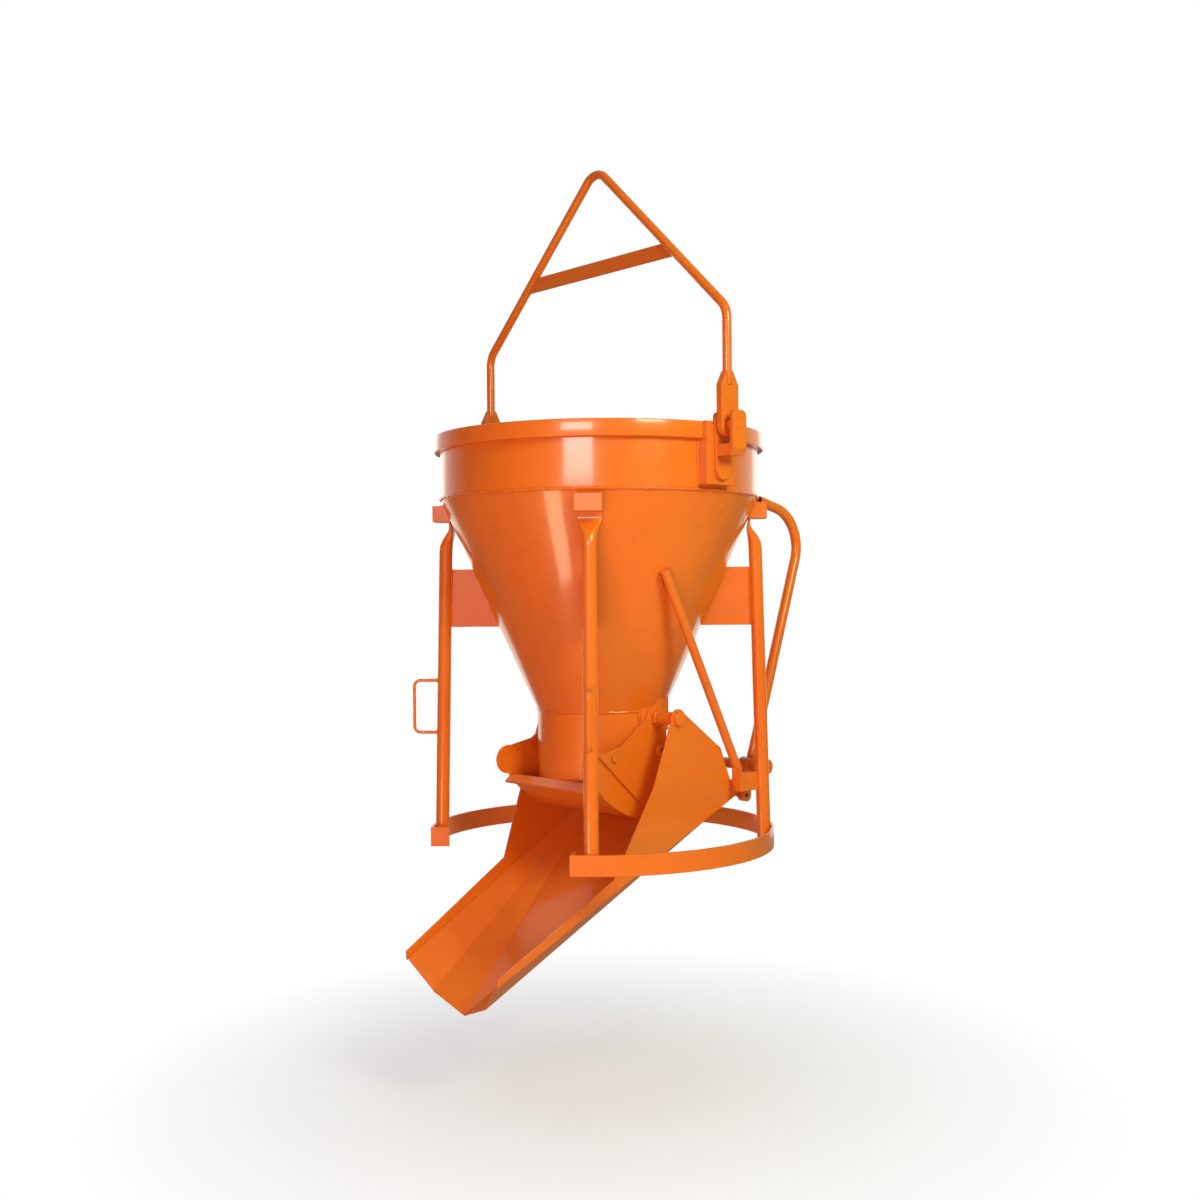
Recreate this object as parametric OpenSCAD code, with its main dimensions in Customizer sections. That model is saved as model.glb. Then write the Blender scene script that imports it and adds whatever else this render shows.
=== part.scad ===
// Concrete bucket: a conical hopper on four tube legs, hung from a bent-bar bail,
// with a lever-worked sector gate and a swinging discharge chute.
// Heights below are measured up from the ground under the base ring. Every sub-part is then
// lowered so that the frame's origin is the seat of the lifting hook. +X is along the bail pins,
// the chute flows to -Y.

/* [Hopper] */
// Outer diameter of the upper shell
shell_d = 1000; // [900:5:1100]
// Height of the upper shell
shell_h = 195; // [150:1:240]
// Height of the rim above the ground
rim_h = 1286; // [1250:1:1400]
// Height of the cone
cone_h = 660; // [620:1:690]
// Outer diameter of the outlet neck
neck_d = 400; // [380:1:410]
// Sheet thickness of shell and cone
sheet_t = 5; // [3:0.5:8]
// Wall thickness of the neck
neck_t = 6; // [4:0.5:8]
// Height of the rim band
rim_band_h = 50; // [30:1:70]
// Radial thickness of the rim band
rim_band_t = 20; // [10:0.5:24]

/* [Legs] */
// Outer diameter of a leg tube
leg_d = 42.4; // [38:0.1:50]
// Wall thickness of a leg tube
leg_t = 3.2; // [2:0.1:5]
// Radius of the leg axes at the ground
leg_foot_r = 512; // [500:1:540]
// Radius of the leg axes at the top of the round tube
leg_top_r = 492; // [485:1:505]
// Height of the pressed part of a leg, between round tube and flattened top
leg_press_h = 76; // [50:1:110]
// Width of the flattened leg top
leg_tab_w = 75; // [60:1:90]
// Thickness of the flattened leg top
leg_tab_t = 8; // [6:0.5:10]
// Length of the flattened leg top along the cone
leg_tab_l = 78; // [60:1:84]
// Width of a leg lug
lug_w = 80; // [60:1:100]
// Height of a leg lug
lug_h = 50; // [40:1:60]
// Outward depth of a leg lug
lug_depth = 26; // [15:1:40]
// Thickness of a gusset plate
gusset_t = 8; // [5:0.5:12]
// Height of a gusset plate
gusset_h = 183; // [150:1:200]
// Height of the base ring
ring_h = 60; // [40:1:80]
// Thickness of the base ring
ring_t = 8; // [5:0.5:12]
// Overhang of the base ring past the front legs, in degrees
ring_overhang = 6.4; // [3:0.1:8]
// Length of the base ring's folded ends
ring_return = 58; // [40:1:80]
// Bar diameter of a hand grip
grip_d = 10; // [8:0.5:14]
// Reach of a hand grip beyond the leg
grip_reach = 72; // [60:1:90]
// Height of a hand grip
grip_h = 166; // [140:1:200]

/* [Bail] */
// Diameter of the bail bar
bail_d = 28; // [24:0.5:32]
// Side room of a bail eye between its lugs
eye_room = 6.4; // [4:0.1:12]
// Height of the shoulder bends above the pins
bail_shoulder = 337; // [290:1:380]
// Height of the bail's peak above the shoulder bends
bail_peak = 531; // [450:1:600]
// Bend radius of the shoulders
shoulder_r = 70; // [50:1:110]
// Bend radius of the peak
peak_r = 60; // [45:1:80]
// Height of the flat cross bar
cross_h = 45; // [30:1:60]
// Thickness of the flat cross bar
cross_t = 8; // [6:0.5:12]
// Height of the cross bar above the shoulder bends
cross_rise = 211; // [150:1:250]
// Width of an eye plate
eye_w = 70; // [60:1:80]
// Thickness of an eye plate
eye_t = 20; // [16:0.5:22]
// Length of an eye plate above its pin
eye_l = 154; // [130:1:180]
// Diameter of a bail pin
bail_pin_d = 30; // [24:0.5:34]
// Depth of the bail pins below the rim
bail_pin_drop = 11; // [5:1:18]
// Width of a bail pad
pad_w = 116; // [90:1:140]
// Thickness of a bail pad over the rim band
pad_t = 12; // [8:0.5:13]
// Width of the inner and outer bail lugs
bail_lug_w = 64; // [60:1:76]
// Thickness of the inner and outer bail lugs
bail_lug_t = 12; // [8:0.5:13]
// Height of the bail lugs above the pins
bail_lug_rise = 38; // [30:1:50]
// Corner radius at the top of the bail lugs
bail_lug_corner = 17; // [8:1:24]
// Width of an outer strap
strap_w = 56; // [50:1:60]
// Room between an eye and its outer strap beyond the side room
strap_room = 18; // [0:1:30]

/* [Gate] */
// Distance of the gate pivot behind the neck axis
pivot_y = 38; // [20:1:50]
// Depth of the gate pivot below the neck weld
pivot_drop = 21; // [15:1:25]
// Diameter of the gate pivot pins
pivot_d = 30; // [24:0.5:34]
// Inner radius of the gate pan about the pivot
pan_r = 305; // [300:1:312]
// Thickness of the gate pan
pan_t = 8; // [5:0.5:10]
// Angle of the pan's front edge, forward from straight down
pan_front = 51; // [49:0.5:53]
// Angle of the pan's rear edge, back from straight down
pan_rear = 33; // [32:0.5:35]
// Reach of the pan's front lip beyond the pan
lip_reach = 27; // [15:1:30]
// Thickness of a gate cheek
cheek_t = 5; // [4:0.5:6]
// Thickness of a gate arm
arm_t = 8; // [6:0.5:10]
// Gap between the pan and the neck above it
seal_gap = 2; // [1:0.1:3]

/* [Lever] */
// Distance of the lever shaft behind the neck axis
shaft_y = 400; // [396:1:408]
// Depth of the lever shaft below the gate pivot
shaft_drop = 173; // [166:1:180]
// Diameter of the lever shaft
shaft_d = 34; // [28:0.5:38]
// Distance from a crank's shaft to its pin
crank_l = 100; // [90:1:110]
// Thickness of a crank
crank_t = 12; // [8:0.5:14]
// Thickness of a link
link_t = 10; // [8:0.5:12]
// Diameter of the link pins
link_pin_d = 16; // [12:0.5:18]
// Place of the lever along its shaft
lever_x = 270; // [268:1:290]
// Outer diameter of the lever tube
lever_d = 33.7; // [28:0.1:36]
// Wall thickness of the lever tube
lever_t = 3.2; // [2:0.1:4]
// Height of the lever's bend above its shaft
lever_h = 800; // [760:1:820]
// Backward lean of the lever at its bend
lever_lean = 275; // [260:1:300]
// Height of the lever's tip above its shaft
lever_tip_rise = 852; // [840:1:870]
// Distance of the lever's tip behind its shaft
lever_tip_back = 51; // [48:1:80]
// Bend radius of the lever's top
lever_bend = 130; // [100:1:140]

/* [Chute] */
// Half width over the chute's side walls
chute_x = 310; // [305:1:316]
// Thickness of the chute's sheet and walls
chute_t = 5; // [4:0.5:6]
// Depth of the fold in the side walls below the pivot
fold_drop = 201; // [195:1:210]
// Half width of the chute at its outlet
outlet_x = 224; // [200:1:235]
// Distance of the outlet in front of the neck axis
outlet_y = 595; // [570:1:620]
// Depth of the outlet's upper corners below the pivot
outlet_drop = 716; // [690:1:740]
// Depth of the outlet's spout below its upper corners
spout_deep = 128; // [100:1:150]
// Height of the curbs along the spout
curb_h = 25; // [18:1:32]
// Distance of the chute's rear edge behind the neck axis
chute_rear = 290; // [280:1:296]
// Depth of the chute's rear edge below the pivot
chute_rear_drop = 262; // [254:1:270]
// Length of the side walls' tails behind the chute's rear edge
wall_tail = 38; // [20:1:45]

/* [Braces] */
// Diameter of a strut
strut_d = 28; // [20:0.5:30]
// Height of a strut's upper end above the neck weld
strut_rise = 427; // [400:1:450]
// Distance of a strut's upper end in front of the neck axis
strut_top_y = 100; // [80:1:120]
// Diameter of the strut bolts
bolt_d = 16; // [12:0.5:18]

/* [Fits] */
// Radial clearance of a running fit
run_fit = 0.05; // [0.02:0.01:0.1]
// Gap left at a weld
weld_gap = 0.2; // [0.1:0.05:0.3]
// Side clearance between moving plates
side_gap = 1; // [0.5:0.1:1.5]

/* [Hidden] */
$fn = 96;
hull_fn = 32;
paint = [0.91, 0.45, 0.145];
steel = [0.62, 0.6, 0.57];
eps = 0.01;
over = 1;
hex_r = 0.86;
bend_swell = 0.05;
bend_lap = 0.5;

// Hopper levels and radii
shell_r = shell_d / 2;
neck_r = neck_d / 2;
weld_z = rim_h - shell_h;
neck_z = weld_z - cone_h;
rim_r = shell_r + weld_gap + rim_band_t;
cone_lean = atan((shell_r - neck_r) / cone_h);
function cone_r(z) = neck_r + (shell_r - neck_r) * (z - neck_z) / cone_h;

// Legs stand on the diagonals
leg_azimuths = [-45, -135, 45, 135];
lug_drop = 16;
lug_top_z = weld_z - lug_drop;
tab_stand = 2;
tab_top_z = lug_top_z + tab_stand;
tab_low_z = tab_top_z - leg_tab_l * cos(cone_lean);
leg_tube_h = tab_low_z - leg_press_h;
leg_splay = atan((leg_foot_r - leg_top_r) / leg_tube_h);
leg_l = leg_tube_h / cos(leg_splay);
leg_r = leg_d / 2;
function leg_axis_r(z) = leg_foot_r - (leg_foot_r - leg_top_r) * z / leg_tube_h;
function leg_y(z) = leg_axis_r(z) * cos(45);
press_lap = 3;
press_swell = 0.4;
gusset_drop = 217;
gusset_top_z = weld_z - gusset_drop;
ring_r = leg_foot_r + leg_r + weld_gap;
ring_half_gap = 45 - ring_overhang;
grip_low_z = 355;

// Bail, whose eyes stand between the lugs on the shell
pad_x = rim_r + weld_gap + pad_t;
inner_lug_x = pad_x + weld_gap;
bail_x = inner_lug_x + bail_lug_t + eye_room + eye_t / 2;
pin_z = rim_h - bail_pin_drop;
shoulder_z = pin_z + bail_shoulder;
peak_z = shoulder_z + bail_peak;
bail_slope = atan(bail_x / bail_peak);
peak_drop = peak_r / cos(90 - bail_slope) - peak_r;
hook_z = peak_z - peak_drop - bail_d / 2;
cross_z = shoulder_z + cross_rise;
cross_x = bail_x * (1 - cross_rise / bail_peak) - bail_d / 2 / cos(bail_slope);
pad_lift = 13;
pad_low_z = weld_z + pad_lift;
lug_lift = 14;
strap_x = bail_x + eye_t / 2 + eye_room + strap_room;
strap_drop = 57;
strap_low_z = pin_z - strap_drop;
strap_block_h = 34;
strap_slope = [14, 20];
bail_pin_end = 2;
pin_head_t = 10;
eye_socket = 40;

// Gate, working about its pivot
pivot_z = neck_z - pivot_drop;
shaft_z = pivot_z - shaft_drop;
pivot_r = pivot_d / 2;
bracket_t = 7;
bracket_x = neck_r + bracket_t;
pivot_head_lap = 6;
spacer_t = 5;
bush_t = 10;
arm_x = bracket_x + side_gap;
cheek_x = arm_x - weld_gap - cheek_t;
arm_out_x = arm_x + arm_t;
nut_t = 14;
nut_x = arm_out_x + side_gap / 2;
boss_r = 40;
pan_out_r = pan_r + pan_t;
cheek_in_r = 180;
nose_r = 45;
nose_at = 290;
nose_angle = 61;
gate_bolt_at = 210;
gate_bolt_angle = 58;

// Lever, cranks and links
shaft_r = shaft_d / 2;
link_gap = 10;
link_x = arm_out_x + link_gap;
crank_gap = 3;
crank_x = link_x + link_t + crank_gap;
crank_angle = 3;
crank_dy = crank_l * sin(crank_angle);
crank_dz = -crank_l * cos(crank_angle);
link_pin_r = link_pin_d / 2;
link_r = 20;
link_waist = 0.7;
gate_pin_stand = 1;
crank_pin_stand = 2;
open_fit = 0.5;
bearing_w = 22;
bearing_bite = 8;
bearing_x = leg_y(shaft_z) - leg_r + bearing_bite - bearing_w;
shaft_end = 2;
shaft_half = bearing_x + bearing_w + shaft_end;
collar_w = 8;
collar_t = 7;
hub_t = 9;
hub_r = shaft_r + hub_t;
hub_x = crank_x + crank_t + weld_gap;
hub_lap = 1;
hub_w = lever_x + lever_d / 2 + hub_lap - hub_x;

// Chute
fold_z = pivot_z - fold_drop;
chute_rear_z = pivot_z - chute_rear_drop;
outlet_z = pivot_z - outlet_drop;
wall_slant = (chute_x - outlet_x) / (fold_z - outlet_z);
wall_lean = atan(wall_slant);
wall_run = chute_t / cos(wall_lean);
chute_in_x = chute_x - chute_t;
function wall_out(z) = chute_x - (fold_z - z) * wall_slant;
function wall_in(z) = wall_out(z) - wall_run - weld_gap;
strut_gap = 2;
strut_ahead = 122;
strut_under = 36;
strut_low = [chute_x + strut_gap + strut_d / 2, shaft_y - strut_ahead, shaft_z - strut_under];
strut_top_z = neck_z + strut_rise;
strut_top_r = cone_r(strut_top_z) + strut_d / 2 / cos(cone_lean) + weld_gap;
strut_top = [sqrt(strut_top_r * strut_top_r - strut_top_y * strut_top_y), -strut_top_y, strut_top_z];
strut_tab_t = 10;
strut_tab_lap = 4;
strut_tab_run = 6;
stop_half_h = 28;
stop_ahead = 20;
strut_lift = stop_half_h + strut_d / 2 + strut_gap;

// Lowers what is drawn above the ground to the frame of the hook seat
module hang() {
    translate([0, 0, -hook_z]) children();
}

// The right-hand piece, or its mirror image on the left
module side(right) {
    mirror([right ? 0 : 1, 0, 0]) children();
}

module both_sides() {
    side(true) children();
    side(false) children();
}

// Draws in the plane of Y and Z, from x0 outwards by t
module plate_yz(x0, t) {
    translate([x0, 0, 0]) rotate([90, 0, 90]) linear_extrude(t) children();
}

// A cylinder along X from x0, at y and z
module bar_x(x0, length, y, z, r) {
    translate([x0, y, z]) rotate([0, 90, 0]) cylinder(h = length, r = r);
}

// A round bar from point p to point q
module rod(p, q, r) {
    d = q - p;
    l = norm(d);
    translate(p) rotate([0, acos(d[2] / l), atan2(d[1], d[0])]) cylinder(h = l, r = r);
}

// Turn at corner i of a flat path, positive to the left
function heading(a, b) = atan2(b[1] - a[1], b[0] - a[0]);
function wrap(a) = a > 180 ? a - 360 : (a < -180 ? a + 360 : a);
function turn(p, i) = wrap(heading(p[i], p[i + 1]) - heading(p[i - 1], p[i]));
function trim(p, radii, i) = radii[i] * tan(abs(turn(p, i)) / 2);

// A round bar bent along a flat path, with a bend radius at each corner, or a tube where bore_r is given.
// The metal swells a little at each bend, and the straights run a little way into it.
module bent_bar(path, radii, r, bore_r = 0) {
    last = len(path) - 1;
    for (i = [0 : last - 1]) {
        d = (path[i + 1] - path[i]) / norm(path[i + 1] - path[i]);
        a = path[i] + d * (i == 0 ? 0 : trim(path, radii, i) - bend_lap);
        b = path[i + 1] - d * (i + 1 == last ? 0 : trim(path, radii, i + 1) - bend_lap);
        translate([a[0], a[1], 0]) rotate([0, 0, heading(a, b)]) rotate([0, 90, 0])
            linear_extrude(norm(b - a)) ring_face(r, bore_r);
    }
    for (i = [1 : last - 1]) {
        t = turn(path, i);
        back = heading(path[i - 1], path[i]);
        start = path[i] - trim(path, radii, i) * [cos(back), sin(back)];
        toward = back + (t > 0 ? 90 : -90);
        centre = start + radii[i] * [cos(toward), sin(toward)];
        first = t > 0 ? back - 90 : back + 90 + t;
        translate([centre[0], centre[1], 0]) rotate([0, 0, first])
            rotate_extrude(angle = abs(t)) translate([radii[i], 0])
            ring_face(r + bend_swell, bore_r > 0 ? bore_r - bend_swell : 0);
    }
}

// A disc, or a ring where it has a bore
module ring_face(r, bore_r) {
    difference() {
        circle(r);
        if (bore_r > 0) circle(bore_r);
    }
}

// The cone's solid outline, grown outwards by g, for cutting pieces to it
module cone_body(g) {
    slant_g = g / cos(cone_lean);
    translate([0, 0, neck_z]) cylinder(h = cone_h, r1 = neck_r + slant_g, r2 = shell_r + slant_g);
}

module neck_body(g) {
    cylinder(h = neck_z + eps, r = neck_r + g);
}

// Stands a piece drawn upright on a leg's axis
module on_leg(azimuth) {
    rotate([0, 0, azimuth]) translate([leg_foot_r, 0, 0]) rotate([0, -leg_splay, 0]) children();
}

module leg_body(azimuth, g) {
    on_leg(azimuth) translate([0, 0, -leg_d]) cylinder(h = leg_l + leg_d, r = leg_r + g);
}

// Upper shell
module shell() {
    color(paint) hang() translate([0, 0, weld_z]) difference() {
        cylinder(h = shell_h, r = shell_r);
        translate([0, 0, -over]) cylinder(h = shell_h + 2 * over, r = shell_r - sheet_t);
    }
}

// Rolled bar round the rim
module rim_band() {
    color(paint) hang() translate([0, 0, rim_h - rim_band_h]) difference() {
        cylinder(h = rim_band_h, r = rim_r);
        translate([0, 0, -over]) cylinder(h = rim_band_h + 2 * over, r = shell_r + weld_gap);
    }
}

// Conical lower hopper
module cone() {
    wall = sheet_t / cos(cone_lean);
    color(paint) hang() rotate_extrude()
        polygon([[neck_r, neck_z], [shell_r, weld_z], [shell_r - wall, weld_z], [neck_r - wall, neck_z]]);
}

// Outlet neck, cut below to the sweep of the gate
module neck() {
    color(paint) hang() intersection() {
        difference() {
            cylinder(h = neck_z, r = neck_r);
            translate([0, 0, -over]) cylinder(h = neck_z + 2 * over, r = neck_r - neck_t);
        }
        bar_x(-shell_r, shell_d, pivot_y, pivot_z, pan_r - seal_gap);
    }
}

// A tube leg whose top is pressed flat and set against the cone
module leg(azimuth) {
    color(paint) hang() {
        difference() {
            leg_body(azimuth, 0);
            leg_body(azimuth, -leg_t);
            translate([-shell_d, -shell_d, -2 * leg_d]) cube([2 * shell_d, 2 * shell_d, 2 * leg_d]);
        }
        hull() {
            on_leg(azimuth) translate([0, 0, leg_l - press_lap])
                cylinder(h = press_lap, r = leg_r + press_swell, $fn = hull_fn);
            rotate([0, 0, azimuth]) leg_tab(press_lap, press_swell);
        }
        rotate([0, 0, azimuth]) leg_tab(leg_tab_l, 0);
    }
}

// Flattened leg top of a given length along the cone, drawn in by inset all round
module leg_tab(length, inset) {
    tab_r = cone_r(tab_low_z) + (weld_gap + leg_tab_t / 2) / cos(cone_lean);
    t = leg_tab_t - 2 * inset;
    w = leg_tab_w - 2 * inset;
    translate([tab_r, 0, tab_low_z]) rotate([0, cone_lean, 0]) translate([-t / 2, -w / 2, 0])
        cube([t, w, length]);
}

module leg_front_right() {
    leg(leg_azimuths[0]);
}

module leg_front_left() {
    leg(leg_azimuths[1]);
}

module leg_rear_right() {
    leg(leg_azimuths[2]);
}

module leg_rear_left() {
    leg(leg_azimuths[3]);
}

// Blocks over the flattened leg tops
module leg_lugs() {
    cover = leg_tab_t + 2 * weld_gap;
    low_z = lug_top_z - lug_h;
    color(paint) hang() for (a = leg_azimuths) rotate([0, 0, a]) difference() {
        translate([cone_r(low_z), -lug_w / 2, low_z])
            cube([cone_r(lug_top_z) + cover - cone_r(low_z) + lug_depth, lug_w, lug_h]);
        cone_body(weld_gap);
        leg_tab(leg_tab_l + over, -weld_gap);
    }
}

// Plates between legs and cone
module leg_gussets() {
    low_z = gusset_top_z - gusset_h;
    off = weld_gap / cos(cone_lean);
    leg_in = leg_r + weld_gap;
    color(paint) hang() for (a = leg_azimuths) rotate([0, 0, a]) difference() {
        rotate([90, 0, 0]) translate([0, 0, -gusset_t / 2]) linear_extrude(gusset_t)
            polygon([[cone_r(low_z) + off, low_z], [leg_axis_r(low_z) - leg_in, low_z],
                [leg_axis_r(gusset_top_z) - leg_in, gusset_top_z],
                [cone_r(gusset_top_z) + off, gusset_top_z]]);
        cone_body(weld_gap);
    }
}

// Flat bar round the feet, open where the chute swings out, its ends folded in
module base_ring() {
    color(paint) hang() {
        rotate([0, 0, -90 + ring_half_gap])
            rotate_extrude(angle = 360 - 2 * ring_half_gap) translate([ring_r, 0]) square([ring_t, ring_h]);
        both_sides() rotate([0, 0, -90 + ring_half_gap])
            translate([ring_r + ring_t - ring_return, 0, 0]) cube([ring_return, ring_t, ring_h]);
    }
}

// U-shaped hand grip standing out from a front leg
module grip(azimuth) {
    high_z = grip_low_z + grip_h;
    reach_r = leg_axis_r(grip_low_z) + leg_r + grip_reach;
    function root(z) = leg_axis_r(z) + leg_r - grip_d / 2;
    color(paint) hang() difference() {
        rotate([0, 0, azimuth]) rotate([90, 0, 0])
            bent_bar([[root(high_z), high_z], [reach_r, high_z], [reach_r, grip_low_z],
                [root(grip_low_z), grip_low_z]], [0, 2 * grip_d, 2 * grip_d, 0], grip_d / 2);
        leg_body(azimuth, weld_gap);
    }
}

module grip_right() {
    grip(leg_azimuths[0]);
}

module grip_left() {
    grip(leg_azimuths[1]);
}

// Pads on shell and rim that carry the bail lugs
module bail_pads() {
    color(paint) hang() both_sides() difference() {
        translate([shell_r - rim_band_t, -pad_w / 2, pad_low_z])
            cube([pad_x - shell_r + rim_band_t, pad_w, rim_h - pad_low_z]);
        translate([0, 0, pad_low_z - over]) cylinder(h = shell_h + 2 * over, r = shell_r + weld_gap);
        translate([0, 0, rim_h - rim_band_h - weld_gap])
            cylinder(h = rim_band_h + over, r = rim_r + weld_gap);
    }
}

// Flat strip round the bail pin with rounded top corners, drawn in Y and Z
module strip(w, low_z) {
    c = bail_lug_corner;
    high = pin_z + bail_lug_rise - low_z;
    translate([-w / 2, low_z]) square([w, high - c]);
    translate([c - w / 2, low_z]) square([w - 2 * c, high]);
    for (s = [-1, 1]) translate([s * (w / 2 - c), low_z + high - c]) circle(c);
}

// The same with a round lower end
module lug_strip(low_z) {
    r = bail_lug_w / 2;
    strip(bail_lug_w, low_z + r);
    translate([0, low_z + r]) circle(r);
}

// Inner lugs, lying on the pads
module bail_lugs() {
    color(paint) hang() both_sides() difference() {
        plate_yz(inner_lug_x, bail_lug_t) lug_strip(pad_low_z + lug_lift);
        bar_x(inner_lug_x - over, bail_lug_t + 2 * over, 0, pin_z, bail_pin_d / 2 + run_fit);
    }
}

// Outer straps with the block that ties them to the inner lugs, sloped off underneath
module bail_straps() {
    low_z = strap_low_z - strap_block_h;
    block_x = inner_lug_x + bail_lug_t + weld_gap;
    color(paint) hang() both_sides() difference() {
        union() {
            plate_yz(strap_x, bail_lug_t) strip(strap_w, low_z);
            translate([block_x, -strap_w / 2, low_z])
                cube([strap_x - block_x + eps, strap_w, strap_block_h]);
        }
        bar_x(strap_x - over, bail_lug_t + 2 * over, 0, pin_z, bail_pin_d / 2 + run_fit);
        translate([strap_x + bail_lug_t, strap_w, low_z]) rotate([90, 0, 0]) linear_extrude(2 * strap_w)
            polygon([[-strap_slope[0], -over], [over, -over], [over, strap_slope[1]], [0, strap_slope[1]],
                [-strap_slope[0], 0]]);
    }
}

// Bail pins, welded into lugs and straps
module bail_pins() {
    root_x = inner_lug_x + weld_gap;
    color(paint) hang() both_sides()
        bar_x(root_x, strap_x + bail_lug_t + bail_pin_end - root_x, 0, pin_z, bail_pin_d / 2);
}

// Brackets on the neck that carry the pivot pins
module pivot_brackets() {
    half_w = 58;
    up = 60;
    down = 42;
    color(paint) hang() both_sides() difference() {
        translate([neck_r / 2, pivot_y - half_w, pivot_z - down])
            cube([bracket_x - neck_r / 2, 2 * half_w, up + down]);
        neck_body(weld_gap);
        cone_body(weld_gap);
        bar_x(0, shell_r, pivot_y, pivot_z, pivot_r + run_fit);
    }
}

// Fixed pins that carry gate and chute
module pivot_pins() {
    root_x = neck_r + weld_gap;
    head_x = chute_x + side_gap / 2;
    color(paint) hang() both_sides() {
        bar_x(root_x, head_x - root_x, pivot_y, pivot_z, pivot_r);
        bar_x(head_x, pin_head_t, pivot_y, pivot_z, pivot_r + pivot_head_lap);
    }
}

// Hexagon nuts outside the gate arms
module pivot_nuts() {
    across = 46;
    color(paint) hang() both_sides() difference() {
        translate([nut_x, pivot_y, pivot_z]) rotate([0, 90, 0])
            cylinder(h = nut_t, r = across / 2 / cos(30), $fn = 6);
        bar_x(nut_x - over, nut_t + 2 * over, pivot_y, pivot_z, pivot_r + run_fit);
    }
}

// Tubes between the nuts and the chute
module pivot_spacers() {
    x0 = nut_x + nut_t + weld_gap;
    x1 = chute_in_x - chute_t - side_gap / 2;
    color(paint) hang() both_sides() difference() {
        bar_x(x0, x1 - x0, pivot_y, pivot_z, pivot_r + spacer_t);
        bar_x(x0 - over, x1 - x0 + 2 * over, pivot_y, pivot_z, pivot_r + run_fit);
    }
}

// Brace from the cone down to a rear leg, its lower end flattened for a bolt
module strut(right) {
    tab_r = strut_d / 2 + strut_tab_lap;
    color(paint) hang() side(right) {
        difference() {
            union() {
                rod(strut_low + [0, 0, strut_lift], strut_top, strut_d / 2);
                translate([0, strut_low[1], strut_low[2]])
                    plate_yz(strut_low[0] - strut_tab_t / 2, strut_tab_t) {
                        circle(tab_r);
                        translate([-tab_r, 0]) square([2 * tab_r, strut_lift + strut_tab_run]);
                    }
            }
            cone_body(weld_gap);
            bar_x(chute_x, strut_d * 2, strut_low[1], strut_low[2], bolt_d / 2 + run_fit);
        }
    }
}

module strut_right() {
    strut(true);
}

module strut_left() {
    strut(false);
}

// Blocks on the rear legs that hold the struts' lower ends
module stop_brackets() {
    x0 = strut_low[0] + strut_tab_t / 2 + weld_gap;
    leg_at = leg_y(strut_low[2]);
    color(paint) hang() both_sides() difference() {
        translate([x0, strut_low[1] - stop_ahead, strut_low[2] - stop_half_h])
            cube([leg_at - x0, leg_at - strut_low[1] + stop_ahead, 2 * stop_half_h]);
        leg_body(leg_azimuths[2], weld_gap);
        bar_x(x0 - over, strut_d * 2, strut_low[1], strut_low[2], bolt_d / 2 + run_fit);
    }
}

// Bolts through the struts' lower ends
module strut_bolts() {
    head_t = 9;
    x0 = strut_low[0] - strut_tab_t / 2 - weld_gap;
    color(paint) hang() both_sides() {
        bar_x(x0, leg_y(strut_low[2]) - x0, strut_low[1], strut_low[2], bolt_d / 2);
        translate([x0 - head_t, strut_low[1], strut_low[2]]) rotate([0, 90, 0])
            cylinder(h = head_t, r = bolt_d * hex_r, $fn = 6);
    }
}

// Bearing block of the lever shaft on the inside of a rear leg
module shaft_bearing(right) {
    half_h = 24;
    front_y = leg_y(strut_low[2]) + side_gap;
    color(paint) hang() side(right) difference() {
        union() {
            translate([bearing_x, front_y, shaft_z - half_h])
                cube([bearing_w, shaft_y - front_y, 2 * half_h]);
            bar_x(bearing_x, bearing_w, shaft_y, shaft_z, half_h);
        }
        leg_body(leg_azimuths[2], weld_gap);
        bar_x(bearing_x - over, bearing_w + 2 * over, shaft_y, shaft_z, shaft_r + run_fit);
    }
}

module shaft_bearing_right() {
    shaft_bearing(true);
}

module shaft_bearing_left() {
    shaft_bearing(false);
}

// Bent bar by which the bucket is lifted
module bail_bar() {
    low_z = pin_z + eye_l - eye_socket;
    path = [[bail_x, low_z], [bail_x, shoulder_z], [0, peak_z], [-bail_x, shoulder_z], [-bail_x, low_z]];
    color(paint) hang() rotate([90, 0, 0])
        bent_bar(path, [0, shoulder_r, peak_r, shoulder_r, 0], bail_d / 2);
}

// Flat bar across the bail
module bail_cross_bar() {
    color(paint) hang() difference() {
        translate([-cross_x - bail_d, -cross_t / 2, cross_z - cross_h / 2])
            cube([2 * cross_x + 2 * bail_d, cross_t, cross_h]);
        for (s = [-1, 1]) rod([s * bail_x, 0, shoulder_z], [0, 0, peak_z], bail_d / 2 + weld_gap);
        for (s = [-1, 1]) translate([s * bail_x, 0, shoulder_z])
            rotate([0, -s * bail_slope, 0]) translate([s > 0 ? 0 : -bail_d * 4, -bail_d, -bail_d * 4])
            cube([bail_d * 4, 2 * bail_d, bail_peak * 2]);
    }
}

// Eye plate on an end of the bail bar
module bail_eye(right) {
    r = eye_w / 2;
    top_z = pin_z + eye_l;
    neck_low_z = top_z - eye_socket;
    color(paint) hang() side(right) difference() {
        plate_yz(bail_x - eye_t / 2, eye_t) {
            translate([0, pin_z]) circle(r);
            polygon([[-r, pin_z], [r, pin_z], [r, neck_low_z], [bail_d / 2, top_z], [-bail_d / 2, top_z],
                [-r, neck_low_z]]);
        }
        bar_x(bail_x - eye_t, 2 * eye_t, 0, pin_z, bail_pin_d / 2 + run_fit);
        translate([bail_x, 0, neck_low_z - weld_gap]) cylinder(h = eye_l, r = bail_d / 2 + weld_gap);
    }
}

module bail_eye_right() {
    bail_eye(true);
}

module bail_eye_left() {
    bail_eye(false);
}

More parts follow.
